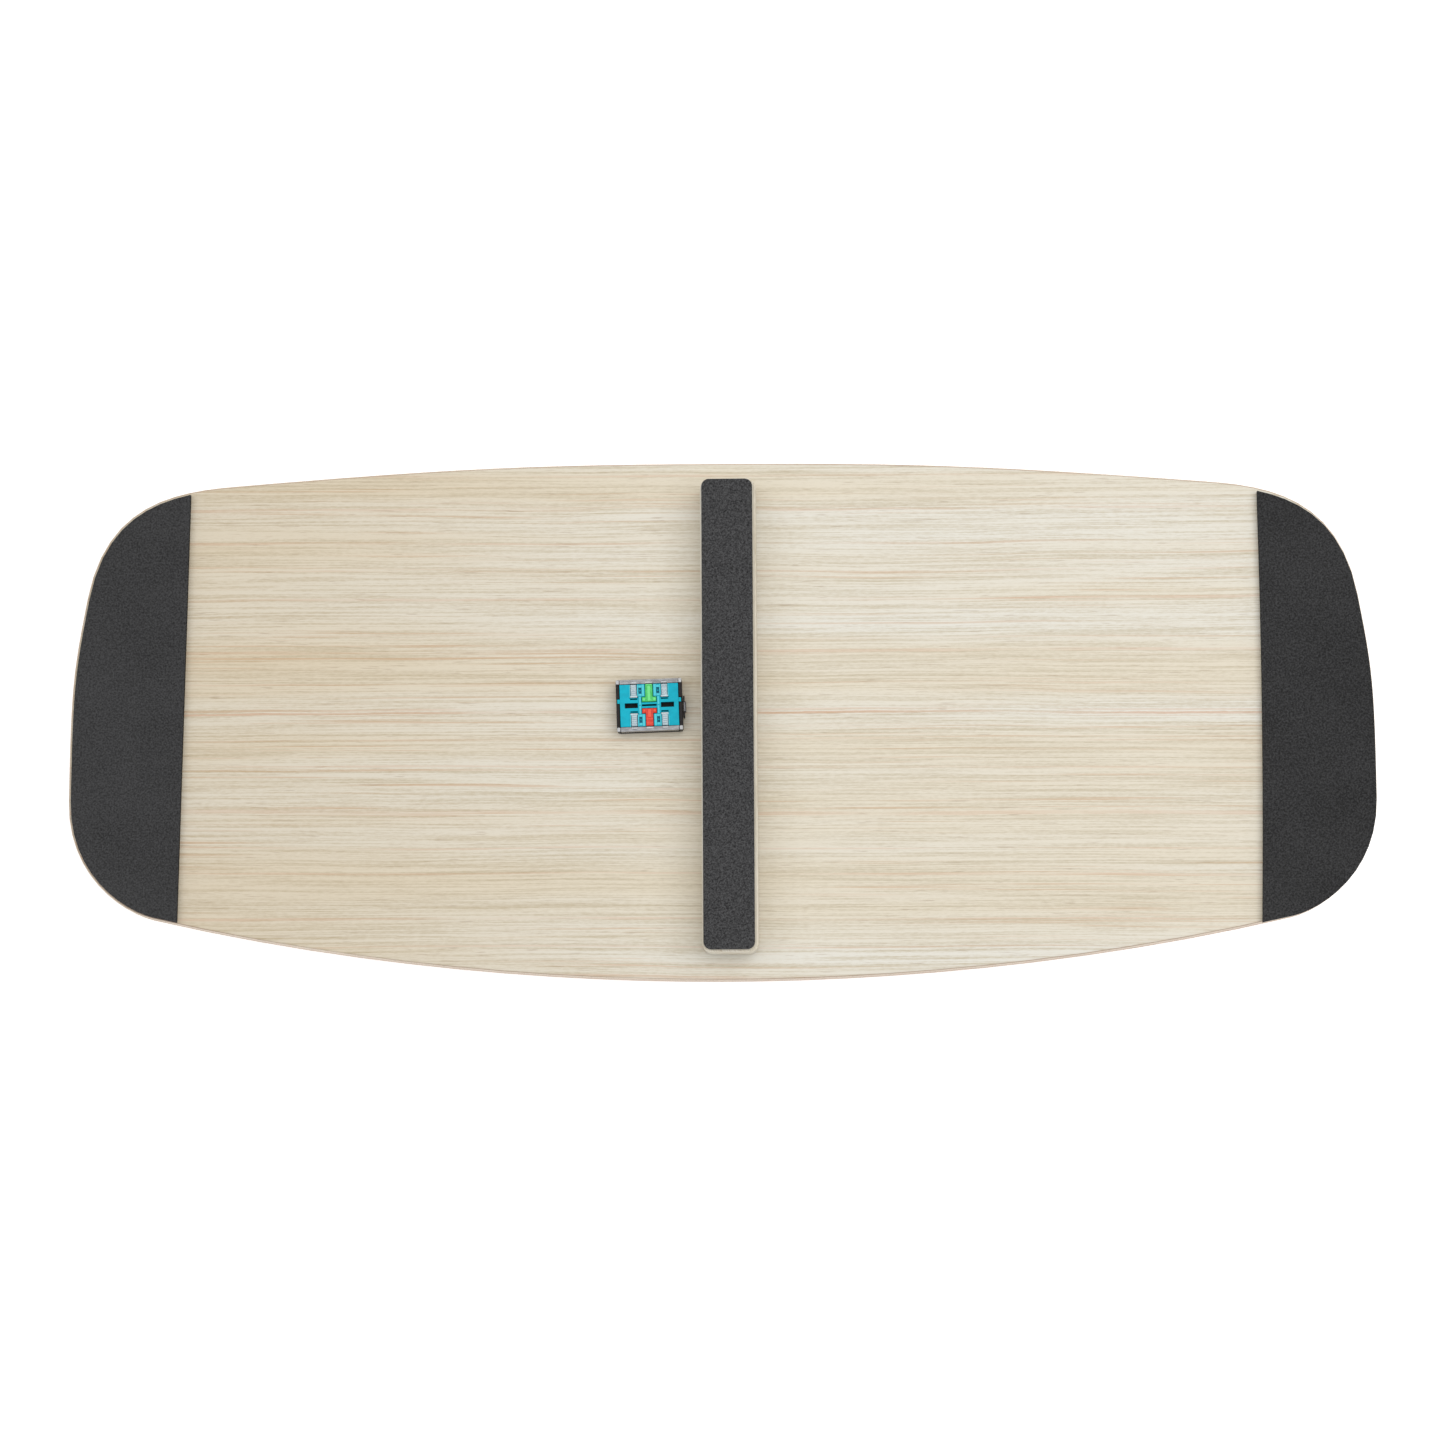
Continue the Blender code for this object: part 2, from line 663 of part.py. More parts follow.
def make_clip(frame):
    """The latch clip outside the tray's right wall, with a thicker middle."""
    thickness, width, height = CLIP_SIZE
    x = TRAY_SIZE[0] / 2 + GAP + thickness / 2
    low = CLIP_Z - height / 2
    clip = box("clip", (thickness, width), (x, CLIP_CENTRE_Y), low, low + height, frame)
    bump_depth, bump_width, bump_height = CLIP_BUMP
    bump_x = x + thickness / 2 + bump_depth / 2 - 0.1 * MM
    bump_low = CLIP_Z - bump_height / 2
    bump = box(
        "clip_bump",
        (bump_depth, bump_width),
        (bump_x, CLIP_CENTRE_Y),
        bump_low,
        bump_low + bump_height,
        frame,
    )
    boolean(clip, bump, "UNION")
    finish_piece(clip, "side_latch_clip", (0.05, 0.048, 0.05), 0.4)


def make_module():
    frame = module_frame()
    halves = [half_frame(frame, turn) for turn in (0, 180)]
    make_tray(frame)
    make_carrier(frame, halves)
    colours = {"green": (0.10, 0.55, 0.14), "red": (0.62, 0.05, 0.02)}
    for half, (word, colour) in zip(halves, colours.items()):
        make_key(half, word, colour)
        make_spring(half, word)
    make_guides(halves)
    make_end_bars(frame)
    make_clip(frame)


def main():
    clear_scene()
    new_collection("balance_board")
    new_collection("cutters")
    deck = make_deck()
    make_end_pads()
    make_batten(deck)
    make_module()


main()
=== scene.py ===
"""The looks of the balance board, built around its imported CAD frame.

Metres, +Z up, in the frame of the CAD. The board lies on its standing face, and the
camera looks down at its underside.
"""

import math

import bmesh
import bpy
from mathutils import Matrix, Vector


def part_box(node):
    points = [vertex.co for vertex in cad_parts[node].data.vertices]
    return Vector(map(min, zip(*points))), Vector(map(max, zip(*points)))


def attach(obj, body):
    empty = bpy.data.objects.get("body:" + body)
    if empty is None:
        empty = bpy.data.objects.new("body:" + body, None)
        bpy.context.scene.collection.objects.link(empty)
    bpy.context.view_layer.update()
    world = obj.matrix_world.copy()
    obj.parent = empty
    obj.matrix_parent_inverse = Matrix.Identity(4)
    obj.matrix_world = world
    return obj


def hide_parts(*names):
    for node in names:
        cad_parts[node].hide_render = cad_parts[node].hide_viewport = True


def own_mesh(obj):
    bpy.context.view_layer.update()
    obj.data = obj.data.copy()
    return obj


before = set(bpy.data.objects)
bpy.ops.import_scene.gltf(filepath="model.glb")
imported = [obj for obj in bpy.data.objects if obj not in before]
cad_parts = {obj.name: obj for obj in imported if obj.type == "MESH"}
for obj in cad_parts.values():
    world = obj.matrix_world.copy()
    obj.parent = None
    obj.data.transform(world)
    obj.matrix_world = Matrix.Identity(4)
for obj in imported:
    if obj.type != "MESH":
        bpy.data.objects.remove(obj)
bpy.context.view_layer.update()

MM = 0.001
BOARD = "board"
WELD = 0.002 * MM
FLAT_ANGLE = 0.0005  # radians: flatter edges inside a face are removed
SHARP_ANGLE = math.radians(40)
BEVEL_ANGLE = math.radians(30)
NEAR_FACE = 0.05 * MM  # how near a point counts as on a piece's lowest or highest face
FILM_GAP = 0.01 * MM

DECK_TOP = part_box("deck")[1].z

# The module's own frame stands on the deck: +Y of a half points to its outer end.
MODULE_TURN = 2.0  # degrees
TRAY_LOW, TRAY_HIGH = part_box("module_tray")
MODULE_CENTRE = (TRAY_LOW + TRAY_HIGH) / 2


# ---------------------------------------------------------------- camera, light and floor

CAMERA_DISTANCE = 2.4495
CAMERA_LENS = 99.654  # mm
CAMERA_TILT = 7.66  # degrees from straight down, towards -Y
CAMERA_SIDE_TILT = 1.37  # degrees
CAMERA_ROLL = 0.23  # degrees
CAMERA_OFFSET = (1.46 * MM, -1.74 * MM)  # along the view's right and up
SENSOR_WIDTH = 36  # mm
SOFTBOX_SIZE = 2.2
SOFTBOXES = {"right": ((1.0, 0.35, 2.2), 32), "left": ((-1.0, 0.2, 2.2), 17)}  # place, watts
SURROUND_STRENGTH = 0.56


def make_camera():
    """The camera over the underside, at a slight tilt."""
    tilt = Matrix.Rotation(math.radians(CAMERA_TILT), 3, "X")
    side = Matrix.Rotation(math.radians(CAMERA_SIDE_TILT), 3, "Y")
    roll = Matrix.Rotation(math.radians(-CAMERA_ROLL), 3, "Z")
    turn = tilt @ side @ roll
    camera = bpy.data.objects.new("camera", bpy.data.cameras.new("camera"))
    bpy.context.scene.collection.objects.link(camera)
    offset = turn @ Vector((*CAMERA_OFFSET, CAMERA_DISTANCE))
    camera.location = Vector((0, 0, DECK_TOP)) + offset
    camera.rotation_euler = turn.to_euler()
    camera.data.lens = CAMERA_LENS
    camera.data.sensor_width = SENSOR_WIDTH
    camera.data.clip_start = 0.05
    bpy.context.scene.camera = camera


def make_softbox(name, place, energy):
    """A large soft lamp that shines at the middle of the board."""
    lamp = bpy.data.lights.new(name, "AREA")
    lamp.shape = "RECTANGLE"
    lamp.size = SOFTBOX_SIZE
    lamp.size_y = SOFTBOX_SIZE
    lamp.energy = energy
    softbox = bpy.data.objects.new(name, lamp)
    bpy.context.scene.collection.objects.link(softbox)
    softbox.location = place
    softbox.rotation_euler = (-softbox.location).to_track_quat("-Z", "Y").to_euler()


def make_light():
    """A main and a weaker soft light, and an even pale surround."""
    for side, (place, energy) in SOFTBOXES.items():
        make_softbox(f"softbox_{side}", place, energy)
    world = bpy.data.worlds.new("surround")
    world.use_nodes = True
    background = world.node_tree.nodes["Background"]
    background.inputs["Color"].default_value = (1.0, 1.0, 1.0, 1.0)
    background.inputs["Strength"].default_value = SURROUND_STRENGTH
    bpy.context.scene.world = world
    bpy.context.scene.view_settings.view_transform = "Standard"


# ---------------------------------------------------------------- material tools


def linear(red, green, blue):
    """A colour given as 0 to 255, in the linear values that a shader takes."""
    values = [part / 255 for part in (red, green, blue)]
    return (*[v / 12.92 if v <= 0.04045 else ((v + 0.055) / 1.055) ** 2.4 for v in values], 1.0)


class Graph:
    """A material's node tree, built one node at a time. Each call returns a socket."""

    def __init__(self, name):
        self.material = bpy.data.materials.new(name)
        self.material.use_nodes = True
        self.tree = self.material.node_tree
        self.shader = self.tree.nodes["Principled BSDF"]
        self.place = self.add("TexCoord", output="Object")

    def add(self, kind, values=None, output=0, **settings):
        node = self.tree.nodes.new("ShaderNode" + kind)
        for key, value in settings.items():
            setattr(node, key, value)
        for key, value in (values or {}).items():
            self.connect(value, node.inputs[key])
        return node.outputs[output]

    def connect(self, value, socket):
        if isinstance(value, bpy.types.NodeSocket):
            self.tree.links.new(value, socket)
        else:
            socket.default_value = value

    def set(self, **values):
        """Sets or links the shader's inputs, with _ for a space in a name."""
        for key, value in values.items():
            self.connect(value, self.shader.inputs[key.replace("_", " ")])

    def math(self, operation, first, second=0.0):
        return self.add("Math", {0: first, 1: second}, operation=operation)

    def parts(self, vector):
        """The X, Y and Z of a vector."""
        node = self.add("SeparateXYZ", {0: vector}).node
        return [node.outputs[index] for index in range(3)]

    def vector(self, x, y, z):
        return self.add("CombineXYZ", {0: x, 1: y, 2: z})

    def noise(self, vector, scales, detail=2.0, roughness=0.5):
        """Noise from 0 to 1, with a number of cells per metre along each axis."""
        stretched = self.add("VectorMath", {0: vector, 1: scales}, operation="MULTIPLY")
        values = {"Vector": stretched, "Scale": 1.0, "Detail": detail, "Roughness": roughness}
        return self.add("TexNoise", values)

    def step(self, value, low, high):
        """0 below low and 1 above high, and smooth in between."""
        values = {0: value, 1: low, 2: high, 3: 0.0, 4: 1.0}
        return self.add("MapRange", values, interpolation_type="SMOOTHSTEP")

    def spread(self, value, low, high):
        """A value from 0 to 1 moved to low to high."""
        return self.add("MapRange", {0: value, 1: 0.0, 2: 1.0, 3: low, 4: high})

    def plus(self, total, part, weight):
        """A total with a weighted part added to it."""
        return self.math("ADD", total, self.math("MULTIPLY", part, weight))

    def tinted(self, colour, other, share, weight):
        """A colour with a weighted share of another in it."""
        return self.mix(self.math("MULTIPLY", share, weight), colour, other)

    def mix(self, share, first, second, mode="MIX"):
        values = {0: share, 6: first, 7: second}
        return self.add("Mix", values, output=2, data_type="RGBA", blend_type=mode)

    def bump(self, height, strength, distance):
        return self.add("Bump", {"Height": height, "Strength": strength, "Distance": distance})


# ---------------------------------------------------------------- wood

WOOD_PALE = linear(217, 214, 204)
WOOD_DEEP = linear(186, 174, 149)
WOOD_WARM = linear(214, 205, 186)
WOOD_STREAK = linear(190, 150, 112)
WOOD_RED = linear(194, 142, 106)
WOOD_PORE = linear(142, 116, 88)
PLY_PALE = linear(224, 211, 194)
PLY_DEEP = linear(160, 124, 102)
PLY_GLUE = linear(126, 96, 76)

VENEER = 0.5 * MM
PLY = (DECK_TOP - 2 * VENEER) / 7

# The deck's reddish streaks: the clearest runs near its middle, the rest at uneven distances.
STREAK_HALF = 0.65 * MM
MAIN_STREAK = 4 * MM
STREAKS_PER_METRE = 48.0
STREAK_UNEVENNESS = 2.4  # in distances between streaks


def grain_colour(graph, along, across, lot):
    """A pale veneer's colour, its fibres, and its place across with the grain's drift."""
    flow = graph.vector(along, across, lot)
    wave = graph.noise(flow, (4.0, 11.0, 1.0), 2.0)
    drift = graph.math("MULTIPLY", graph.math("SUBTRACT", wave, 0.5), 7 * MM)
    bent = graph.math("ADD", across, drift)
    grain = graph.vector(along, bent, lot)

    bands = graph.noise(grain, (1.5, 34.0, 1.0), 2.0)
    lines = graph.noise(grain, (2.6, 440.0, 2.0), 4.0, 0.8)
    dashes = graph.noise(grain, (34.0, 900.0, 3.0), 3.0, 0.7)
    specks = graph.noise(grain, (240.0, 1400.0, 4.0), 2.0, 0.7)
    threads = graph.noise(grain, (9.0, 1100.0, 8.0), 2.0, 0.6)
    tone = graph.math("MULTIPLY", graph.step(lines, 0.46, 0.68), 0.44)
    tone = graph.plus(tone, graph.step(dashes, 0.36, 0.66), 0.22)
    tone = graph.plus(tone, graph.step(specks, 0.32, 0.68), 0.44)
    tone = graph.math("ADD", tone, graph.spread(graph.step(threads, 0.38, 0.64), -0.38, 0.34))
    tone = graph.math("ADD", tone, graph.spread(bands, -0.25, 0.1))
    colour = graph.mix(graph.step(bands, 0.3, 0.7), WOOD_PALE, WOOD_WARM)
    colour = graph.tinted(colour, WOOD_DEEP, tone, 0.8)

    warm_lines = graph.noise(grain, (3.4, 520.0, 6.0), 3.0, 0.7)
    places = graph.noise(grain, (3.0, 24.0, 7.0), 1.0)
    share = graph.math(
        "MULTIPLY", graph.step(warm_lines, 0.56, 0.66), graph.step(places, 0.40, 0.60)
    )
    colour = graph.tinted(colour, WOOD_STREAK, share, 0.52)

    pores = graph.noise(grain, (60.0, 1200.0, 5.0), 1.0)
    colour = graph.tinted(colour, WOOD_PORE, graph.step(pores, 0.66, 0.78), 0.35)
    return colour, dashes, bent


def painted_falloff(graph, colour, along):
    """Painted shade: the veneer turns darker and a little yellower towards -X, standing in for light
    that falls off there.
    """
    falloff_share = graph.step(along, -320 * MM, 60 * MM)
    shade_tint = graph.mix(falloff_share, (0.905, 0.852, 0.775, 1.0), (1.0, 1.0, 1.0, 1.0))
    return graph.mix(1.0, colour, shade_tint, "MULTIPLY")


def with_streaks(graph, colour, along, bent, fibres):
    """The deck's long reddish streaks, stronger and weaker along their length."""
    rough = graph.math("ADD", bent, graph.spread(fibres, -STREAK_HALF, STREAK_HALF))
    values = {0: rough, 1: MAIN_STREAK, 2: STREAK_HALF}
    main = graph.add("Math", values, operation="COMPARE")
    shift = graph.noise(graph.vector(0.0, bent, 9.0), (1.0, 18.0, 1.0), 0.0)
    count = graph.plus(graph.math("MULTIPLY", rough, STREAKS_PER_METRE), shift, STREAK_UNEVENNESS)
    values = {0: graph.math("FRACT", count), 1: 0.5, 2: STREAKS_PER_METRE * STREAK_HALF}
    others = graph.add("Math", values, operation="COMPARE")
    share = graph.math("MAXIMUM", main, graph.math("MULTIPLY", others, 0.5))
    fading = graph.noise(graph.vector(along, bent, 9.0), (9.0, 60.0, 1.0), 2.0)
    share = graph.math("MULTIPLY", share, graph.step(fading, 0.30, 0.62))
    return graph.tinted(colour, WOOD_RED, share, 0.5)


def ply_edge(graph, height):
    """The plies on the deck's edge: pale and deep by turns, with lines of glue."""
    layer = graph.math("DIVIDE", graph.math("SUBTRACT", height, VENEER), PLY)
    wobble = graph.noise(graph.place, (12.0, 12.0, 40.0), 1.0)
    layer = graph.math("ADD", layer, graph.spread(wobble, -0.09, 0.09))
    half = graph.math("FRACT", graph.math("MULTIPLY", layer, 0.5))
    crosswise = graph.math(
        "MULTIPLY", graph.step(half, 0.48, 0.5), graph.math("SUBTRACT", 1.0, graph.step(half, 0.98, 1.0))
    )
    in_layer = graph.math("ABSOLUTE", graph.math("SUBTRACT", graph.math("FRACT", layer), 0.5))
    glue = graph.step(in_layer, 0.42, 0.48)
    strands = graph.noise(graph.place, (60.0, 60.0, 2600.0), 3.0, 0.6)
    pits = graph.noise(graph.place, (900.0, 900.0, 900.0), 2.0, 0.6)
    edge = graph.mix(graph.spread(crosswise, 0.0, 0.8), PLY_PALE, PLY_DEEP)
    edge = graph.tinted(edge, PLY_DEEP, graph.step(strands, 0.3, 0.75), 0.25)
    edge = graph.tinted(edge, PLY_GLUE, graph.step(pits, 0.45, 0.75), 0.22)
    return graph.tinted(edge, PLY_GLUE, glue, 0.55)


def deck_wood():
    """Veneered plywood: grain along X on its faces, and the plies on its edge."""
    graph = Graph("deck_wood")
    x, y, z = graph.parts(graph.place)
    face, fibres, bent = grain_colour(graph, x, y, 0.3)
    face = with_streaks(graph, face, x, bent, fibres)
    # Painted shade: the face darkens towards -X.
    face = painted_falloff(graph, face, x)
    middle = DECK_TOP / 2
    depth = graph.math("ABSOLUTE", graph.math("SUBTRACT", z, middle))
    on_face = graph.step(depth, middle - 0.40 * MM, middle - 0.34 * MM)
    graph.set(Base_Color=graph.mix(on_face, ply_edge(graph, z), face))
    graph.set(Roughness=graph.spread(fibres, 0.42, 0.62))
    graph.set(Normal=graph.bump(fibres, 0.25, 0.12 * MM))
    graph.set(Specular_IOR_Level=0.35)
    return graph


def batten_wood():
    """Solid pale wood with its grain along Y."""
    graph = Graph("batten_wood")
    x, y, z = graph.parts(graph.place)
    across = graph.math("ADD", x, graph.math("MULTIPLY", z, 0.8))
    face, fibres, _ = grain_colour(graph, y, across, 2.7)
    graph.set(Base_Color=face, Roughness=graph.spread(fibres, 0.35, 0.55))
    graph.set(Normal=graph.bump(fibres, 0.2, 0.1 * MM), Specular_IOR_Level=0.45)
    return graph


# ---------------------------------------------------------------- foam, rubber and the rest


def shaded_sides_mask(graph):
    """1 on a sheet's cut sides and 0 on its flat face: where painted shade goes on the sides."""
    _, _, up = graph.parts(graph.add("NewGeometry", output="Normal"))
    return graph.math("SUBTRACT", 1.0, graph.step(up, 0.55, 0.98))


def foam():
    """Closed-cell foam: dark, matt, with fine pores and faint clouds, a painted sheen that is paler
    towards -X, and painted shade on its sides.
    """
    graph = Graph("end_foam")
    grains = graph.noise(graph.place, (900.0, 900.0, 900.0), 3.0, 0.75)
    pores = graph.noise(graph.place, (2300.0, 2300.0, 2300.0), 2.0, 0.6)
    clouds = graph.noise(graph.place, (16.0, 24.0, 16.0), 3.0)
    share = graph.math("ADD", graph.step(grains, 0.28, 0.72), graph.spread(pores, -0.3, 0.3))
    share = graph.math("ADD", share, graph.spread(clouds, -0.25, 0.25))
    # Painted sheen: the foam turns paler towards -X and darker towards +X.
    x, _, _ = graph.parts(graph.place)
    share = graph.math("SUBTRACT", share, graph.math("MULTIPLY", x, 0.3))
    colour = graph.mix(share, linear(18, 18, 18), linear(64, 64, 65))
    # Painted shade: the foam's sides go near black.
    colour = graph.mix(shaded_sides_mask(graph), colour, linear(9, 9, 9))
    graph.set(Base_Color=colour, Roughness=graph.spread(grains, 0.78, 0.95))
    relief = graph.math("ADD", grains, pores)
    graph.set(Normal=graph.bump(relief, 0.4, 0.2 * MM), Specular_IOR_Level=0.3)
    return graph


def rubber():
    """Gritty rubber: coarser speckles than the foam's."""
    graph = Graph("strip_rubber")
    speckles = graph.noise(graph.place, (900.0, 900.0, 900.0), 3.0, 0.8)
    grit = graph.add("VectorMath", {0: graph.place, 1: (1250.0,) * 3}, operation="MULTIPLY")
    cells = graph.add("TexVoronoi", {"Vector": grit, "Scale": 1.0}, feature="F1")
    share = graph.math("ADD", graph.step(speckles, 0.26, 0.74), graph.spread(cells, 0.3, -0.3))
    colour = graph.mix(share, linear(12, 12, 13), linear(78, 78, 79))
    graph.set(Base_Color=colour, Roughness=graph.spread(speckles, 0.7, 0.95))
    relief = graph.math("SUBTRACT", speckles, cells)
    graph.set(Normal=graph.bump(relief, 0.6, 0.3 * MM), Specular_IOR_Level=0.3)
    return graph


def plastic(name, low, high, roughness=0.35, see_through=0.0, specular=0.35):
    """Moulded plastic between two close shades, with a faint flow and a fine skin."""
    graph = Graph(name)
    flow = graph.noise(graph.place, (260.0, 420.0, 260.0), 3.0)
    skin = graph.noise(graph.place, (4200.0, 4200.0, 4200.0), 2.0)
    graph.set(Base_Color=graph.mix(graph.step(flow, 0.3, 0.7), low, high))
    graph.set(Roughness=graph.spread(skin, roughness - 0.08, roughness + 0.1))
    graph.set(Normal=graph.bump(skin, 0.15, 0.03 * MM))
    graph.set(Transmission_Weight=see_through, IOR=1.49, Specular_IOR_Level=specular)
    return graph


def with_painted_relief_light(graph, top, fall, pale, deep):
    """A plastic with painted highlight where it stands above its top face, and painted shade where it
    sinks below it.
    """
    _, _, z = graph.parts(graph.place)
    body = graph.shader.inputs["Base Color"].links[0].from_socket
    level = DECK_TOP + top
    # Painted highlight on what stands above the top face.
    raised = graph.step(z, level + 0.08 * MM, level + 0.25 * MM)
    # Painted shade on what sinks below the top face.
    painted_shade_share = graph.math("SUBTRACT", 1.0, graph.step(z, level - fall, level - fall / 3))
    body = graph.mix(graph.math("MULTIPLY", raised, 0.8), body, pale)
    graph.set(Base_Color=graph.mix(graph.math("MULTIPLY", painted_shade_share, 0.75), body, deep))
    return graph


def teal_plastic():
    """The carrier's plastic, with painted highlight on its raised frames and painted shade in its
    recesses.
    """
    graph = plastic("teal_plastic", linear(0, 160, 182), linear(0, 170, 192), 0.4, 0.0, 0.15)
    return with_painted_relief_light(graph, CARRIER_TOP, 0.9 * MM, linear(86, 200, 212), linear(0, 78, 100))


def green_plastic():
    """The green key's plastic, with painted highlight on its raised details and painted shade below its
    top.
    """
    graph = plastic("green_plastic", linear(44, 174, 80), linear(68, 194, 102), 0.28)
    return with_painted_relief_light(graph, KEY_TOP, 0.26 * MM, linear(112, 220, 132), linear(8, 92, 42))


def red_plastic():
    """The red key's plastic, with painted highlight on its raised details and painted shade below its
    top.
    """
    graph = plastic("red_plastic", linear(196, 42, 24), linear(214, 54, 32), 0.28)
    return with_painted_relief_light(graph, KEY_TOP, 0.26 * MM, linear(230, 84, 58), linear(104, 12, 8))


def clear_plastic():
    """The light guides' plastic, with painted highlight on their ridges and foot and painted shade below
    their top.
    """
    graph = plastic(
        "clear_plastic", linear(164, 190, 202), linear(194, 214, 222), 0.16, 0.3, 0.5
    )
    return with_painted_relief_light(graph, GUIDE_TOP, 0.3 * MM, linear(226, 238, 242), linear(84, 136, 152))


def smoky_plastic():
    """The end bars' and the latch window's plastic, with painted highlight on their bosses and rail and
    painted shade below their top.
    """
    graph = plastic(
        "smoky_plastic", linear(142, 142, 146), linear(184, 185, 188), 0.12, 0.35, 0.6
    )
    return with_painted_relief_light(graph, GUIDE_TOP, 0.3 * MM, linear(222, 224, 226), linear(96, 94, 96))


def steel():
    """Bright turned steel."""
    graph = Graph("steel")
    turning = graph.noise(graph.place, (900.0, 900.0, 5200.0), 2.0)
    graph.set(Base_Color=graph.mix(turning, linear(170, 168, 160), linear(205, 203, 196)))
    graph.set(Roughness=graph.spread(turning, 0.25, 0.45), Metallic=1.0)
    return graph


def paper_film(name, low, high):
    """A thin fibrous layer, such as adhesive film, foam tape or laminate."""
    graph = Graph(name)
    mottle = graph.noise(graph.place, (500.0, 700.0, 500.0), 4.0, 0.6)
    graph.set(Base_Color=graph.mix(mottle, low, high), Roughness=graph.spread(mottle, 0.6, 0.85))
    graph.set(Normal=graph.bump(mottle, 0.2, 0.08 * MM))
    return graph


# ---------------------------------------------------------------- mesh tools


def new_piece(name, slot, body, *nodes, look=None):
    """An empty mesh object for a piece of the board, in its slot's look unless told."""
    obj = bpy.data.objects.new(name, bpy.data.meshes.new(name))
    bpy.context.scene.collection.objects.link(obj)
    obj.data.materials.append(GRAPHS[look or slot].material)
    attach(obj, body)
    if nodes:
        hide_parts(*nodes)
    return obj


def write_shape(obj, shape):
    """Puts a finished bmesh into a piece, with smooth shading up to sharp edges."""
    bmesh.ops.recalc_face_normals(shape, faces=shape.faces)
    shape.to_mesh(obj.data)
    shape.free()
    obj.data.shade_smooth()
    obj.data.set_sharp_from_angle(angle=SHARP_ANGLE)


def cad_shape(node):
    """A CAD node's mesh, welded, with its flat faces whole again."""
    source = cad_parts[node].data
    shape = bmesh.new()
    places = [shape.verts.new(vertex.co) for vertex in source.vertices]
    for face in source.polygons:
        shape.faces.new([places[index] for index in face.vertices])
    bmesh.ops.remove_doubles(shape, verts=shape.verts, dist=WELD)
    bmesh.ops.dissolve_limit(
        shape, angle_limit=FLAT_ANGLE, verts=shape.verts, edges=shape.edges
    )
    return shape


def restack(shape, low, high):
    """Moves the lowest and the highest points of a flat piece to two new heights."""
    heights = [vertex.co.z for vertex in shape.verts]
    bottom, top = min(heights), max(heights)
    for vertex in shape.verts:
        if vertex.co.z - bottom < NEAR_FACE:
            vertex.co.z += low - bottom
        elif top - vertex.co.z < NEAR_FACE:
            vertex.co.z += high - top


def keep_flat(obj):
    """Keeps a piece's flat faces flat in smooth shading."""
    normals = obj.modifiers.new("flat_faces", "WEIGHTED_NORMAL")
    normals.keep_sharp = True


def soften(obj, width, segments=2):
    """Rounds the sharp edges of a piece by a bevel, and keeps its flat faces flat."""
    bevel = obj.modifiers.new("soft_edges", "BEVEL")
    bevel.width = width
    bevel.segments = segments
    bevel.limit_method = "ANGLE"
    bevel.angle_limit = BEVEL_ANGLE
    bevel.use_clamp_overlap = True
    keep_flat(obj)


# ---------------------------------------------------------------- deck, pads and batten


def make_deck():
    """The plywood deck."""
    deck = new_piece("deck_board", "deck_wood", BOARD, "deck")
    write_shape(deck, cad_shape("deck"))
    keep_flat(deck)


def make_pads():
    """The foam pads with soft edges, each on its film."""
    for side in ("left", "right"):
        node = f"end_pad_{side}"
        film_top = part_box(node)[0].z - 2 * FILM_GAP
        film = new_piece(f"pad_film_{side}", "adhesive_film", BOARD, f"{node}_adhesive")
        shape = cad_shape(f"{node}_adhesive")
        restack(shape, DECK_TOP + FILM_GAP, film_top)
        write_shape(film, shape)
        pad = new_piece(f"foam_pad_{side}", "end_foam", BOARD, node)
        write_shape(pad, cad_shape(node))
        soften(pad, 0.7 * MM, 3)


def make_batten():
    """The batten, and its rubber face on a film."""
    batten = new_piece("batten_bar", "batten_wood", BOARD, "batten")
    batten_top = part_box("batten")[1].z
    shape = cad_shape("batten")
    restack(shape, DECK_TOP + FILM_GAP, batten_top)
    write_shape(batten, shape)
    keep_flat(batten)

    rubber_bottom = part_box("batten_rubber_strip")[0].z
    film = new_piece("strip_film", "adhesive_film", BOARD, "batten_strip_adhesive")
    shape = cad_shape("batten_strip_adhesive")
    restack(shape, batten_top + FILM_GAP, rubber_bottom - FILM_GAP)
    write_shape(film, shape)
    strip = new_piece("rubber_face", "strip_rubber", BOARD, "batten_rubber_strip")
    write_shape(strip, cad_shape("batten_rubber_strip"))
    keep_flat(strip)


# ---------------------------------------------------------------- module

# Heights are above the deck. Places are in a half of the module: +Y is its outer end.
CARRIER_TOP = 9.6 * MM
RELIEF_TOP = 9.95 * MM
KEY_TOP = 10.2 * MM
GUIDE_TOP = 9.9 * MM
GUIDE_X = 9.4 * MM
EMBED = 0.15 * MM  # how deep a raised detail starts inside its piece


def half_matrix(turn):
    """From a half of the module to the board's frame."""
    place = Matrix.Translation((MODULE_CENTRE.x, MODULE_CENTRE.y, DECK_TOP))
    return place @ Matrix.Rotation(math.radians(MODULE_TURN + turn), 4, "Z")


def add_bar(shape, matrix, x, stations):
    """A closed bar along Y, through stations of (y, half width, low, high)."""
    rings = []
    for y, half, low, high in stations:
        corners = ((x - half, low), (x + half, low), (x + half, high), (x - half, high))
        rings.append([shape.verts.new(matrix @ Vector((cx, y, cz))) for cx, cz in corners])
    for near, far in zip(rings, rings[1:]):
        for index in range(4):
            after = (index + 1) % 4
            shape.faces.new((near[index], near[after], far[after], far[index]))
    shape.faces.new(rings[0])
    shape.faces.new(rings[-1])


def add_block(shape, matrix, size, centre, low, high):
    """An upright block of a size in X and Y."""
    near, far = centre[1] - size[1] / 2, centre[1] + size[1] / 2
    add_bar(shape, matrix, centre[0], [(y, size[0] / 2, low, high) for y in (near, far)])


def add_dome(shape, matrix, centre, radii):
    """A flattened dome, its lower half inside the piece."""
    place = matrix @ Matrix.Translation(centre) @ Matrix.Diagonal((*radii, 1.0))
    bmesh.ops.create_uvsphere(shape, u_segments=20, v_segments=10, radius=1.0, matrix=place)


